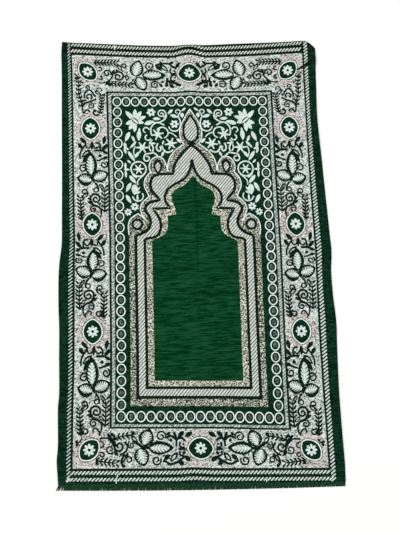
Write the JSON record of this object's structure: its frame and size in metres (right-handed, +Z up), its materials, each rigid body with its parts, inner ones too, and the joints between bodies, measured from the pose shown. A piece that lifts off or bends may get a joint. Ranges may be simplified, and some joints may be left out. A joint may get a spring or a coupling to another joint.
{
  "type": "prayer rug",
  "caption": "Flat woven chenille prayer rug with an arched niche, flowered spandrels, a scroll and leaf border, a turned-under head hem and a short cut fringe along its foot.",
  "frame": {"origin": "on the floor, under the middle of the whole rug", "axes": "+X to the rug's right, +Y along its length towards the tip of the arch, +Z up out of the pile"},
  "size_m": [0.6673, 1.1118, 0.0091],
  "materials": {
    "chenille": "matt woven chenille pile, dark green and cream",
    "fringe_yarn": "matt dark green cut yarn"
  },
  "bodies": {
    "root": {"rug_cloth": "chenille", "bottom_fringe": "fringe_yarn"}
  },
  "joints": []
}
